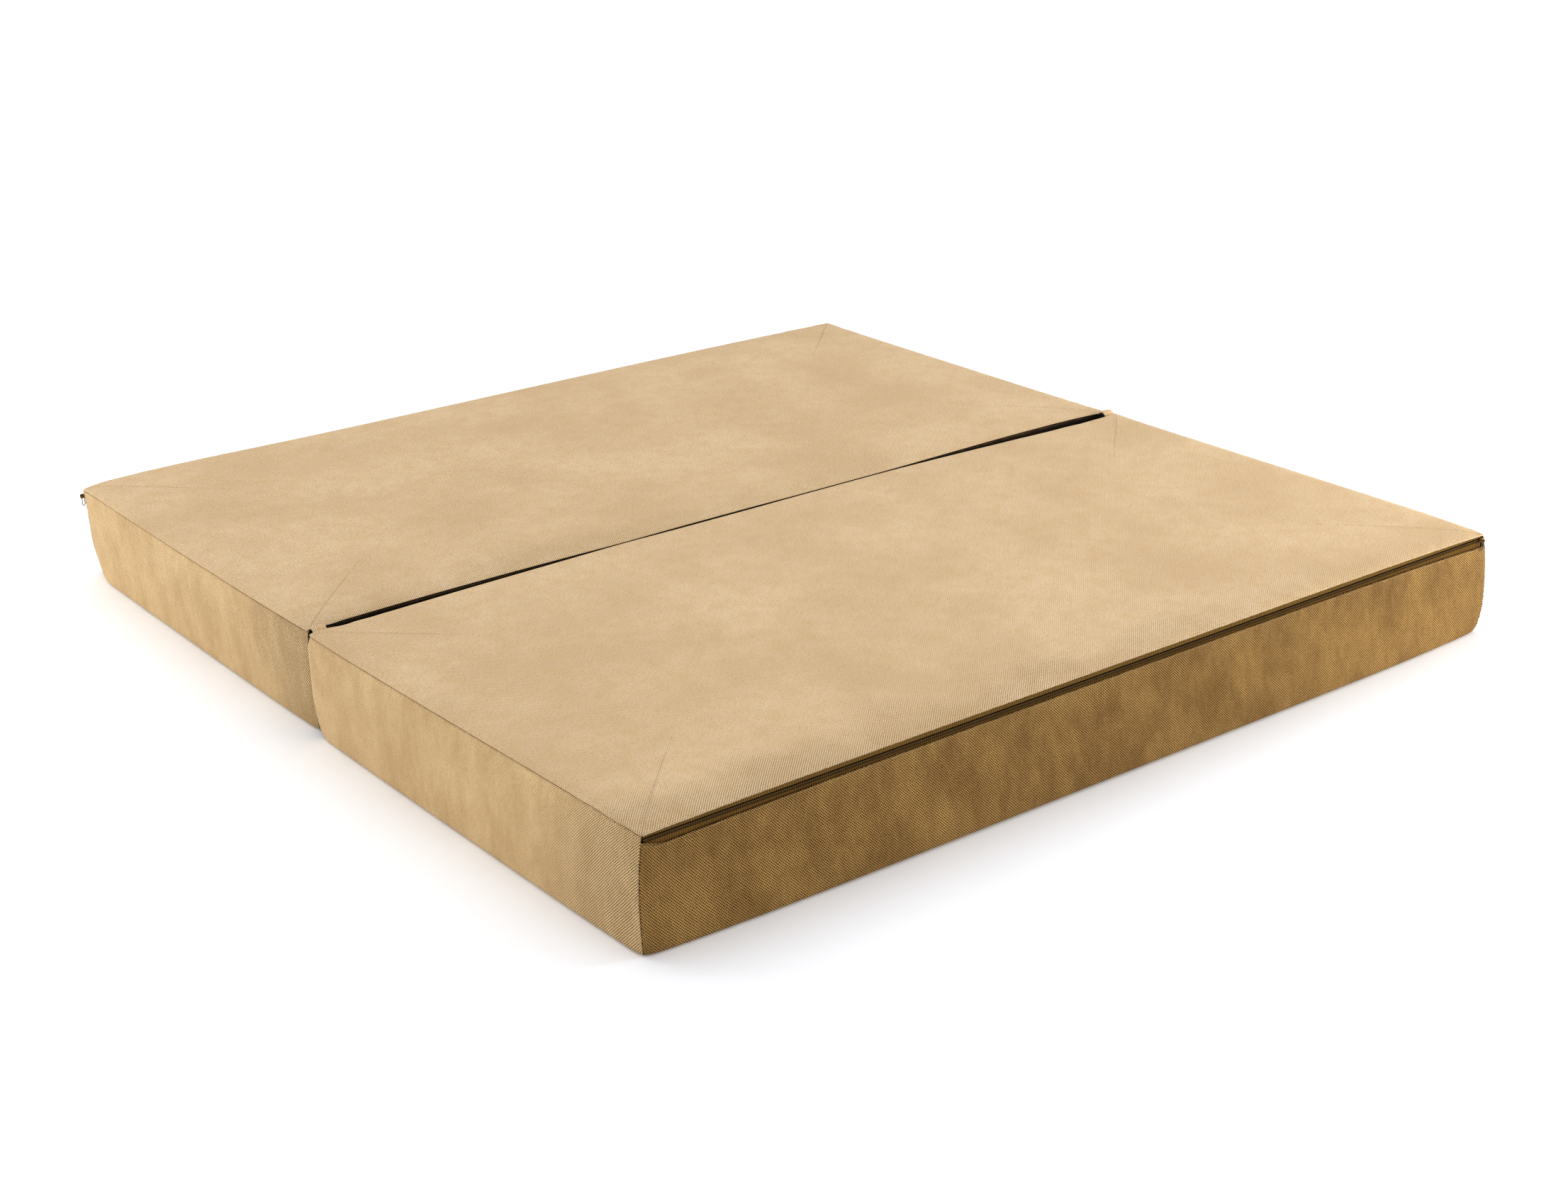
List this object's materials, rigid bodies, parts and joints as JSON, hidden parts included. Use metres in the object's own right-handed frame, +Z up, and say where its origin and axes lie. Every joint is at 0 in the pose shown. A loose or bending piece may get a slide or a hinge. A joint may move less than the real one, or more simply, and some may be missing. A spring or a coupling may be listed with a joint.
{
  "type": "sofa bed",
  "caption": "Fold-out sofa bed of two boxed foam cushions in zipped woven covers, joined by cloth hinge tabs so that one folds over onto the other.",
  "frame": {"origin": "on the floor, under the middle of the gap between the two cushions", "axes": "+X along the cushions' long edges, +Y from the front cushion to the rear one, +Z up"},
  "size_m": [2.015, 2.0382, 0.21],
  "materials": {
    "cover_fabric": "heavy golden tan twill weave, matt",
    "wadding": "soft white polyester wadding",
    "foam": "open-cell upholstery foam",
    "zip_tape": "olive brown woven zip tape",
    "zip_coil": "dark nylon coil",
    "slider_metal": "aged brass",
    "pull_metal": "pale nickel wire"
  },
  "bodies": {
    "rear_slab": {"rear_foam_core": "foam", "rear_top_wadding": "wadding", "rear_base_wadding": "wadding", "rear_top_panel": "cover_fabric", "rear_side_and_base_panel": "cover_fabric", "rear_zip_upper_tape": "zip_tape", "rear_zip_lower_tape": "zip_tape", "rear_zip_upper_coil": "zip_coil", "rear_zip_lower_coil": "zip_coil"},
    "hinge_tabs": {"near_hinge_tab": "cover_fabric", "far_hinge_tab": "cover_fabric"},
    "front_slab": {"front_foam_core": "foam", "front_top_wadding": "wadding", "front_base_wadding": "wadding", "front_top_panel": "cover_fabric", "front_side_and_base_panel": "cover_fabric", "front_zip_upper_tape": "zip_tape", "front_zip_lower_tape": "zip_tape", "front_zip_upper_coil": "zip_coil", "front_zip_lower_coil": "zip_coil"},
    "front_zip_slider": {"front_zip_slider": "slider_metal"},
    "front_zip_pull": {"front_zip_pull": "pull_metal"},
    "rear_zip_slider": {"rear_zip_slider": "slider_metal"},
    "rear_zip_pull": {"rear_zip_pull": "pull_metal"}
  },
  "joints": [
    {"name": "slab_fold", "type": "hinge", "parent": "rear_slab", "child": "front_slab", "pos_m": [0, 0, 0.21616], "axis": [-1, 0, 0], "range_deg": [0, 180]},
    {"name": "tab_fold", "type": "hinge", "parent": "rear_slab", "child": "hinge_tabs", "pos_m": [0, 0.012, 0.20416], "axis": [-1, 0, 0], "range_deg": [0, 90]},
    {"name": "front_zip_slide", "type": "slide", "parent": "front_slab", "child": "front_zip_slider", "axis": [-1, 0, 0], "range_m": [0, 1.89]},
    {"name": "front_pull_swing", "type": "hinge", "parent": "front_zip_slider", "child": "front_zip_pull", "pos_m": [0.9965, -1.01535, 0.189], "axis": [0, 1, 0], "range_deg": [-90, 90]},
    {"name": "rear_zip_slide", "type": "slide", "parent": "rear_slab", "child": "rear_zip_slider", "axis": [1, 0, 0], "range_m": [0, 1.89]},
    {"name": "rear_pull_swing", "type": "hinge", "parent": "rear_zip_slider", "child": "rear_zip_pull", "pos_m": [-0.9965, 1.01535, 0.189], "axis": [0, -1, 0], "range_deg": [-90, 90]}
  ],
  "couplings": [
    {"joint": "tab_fold", "follows": "slab_fold", "ratio": 0.5}
  ]
}
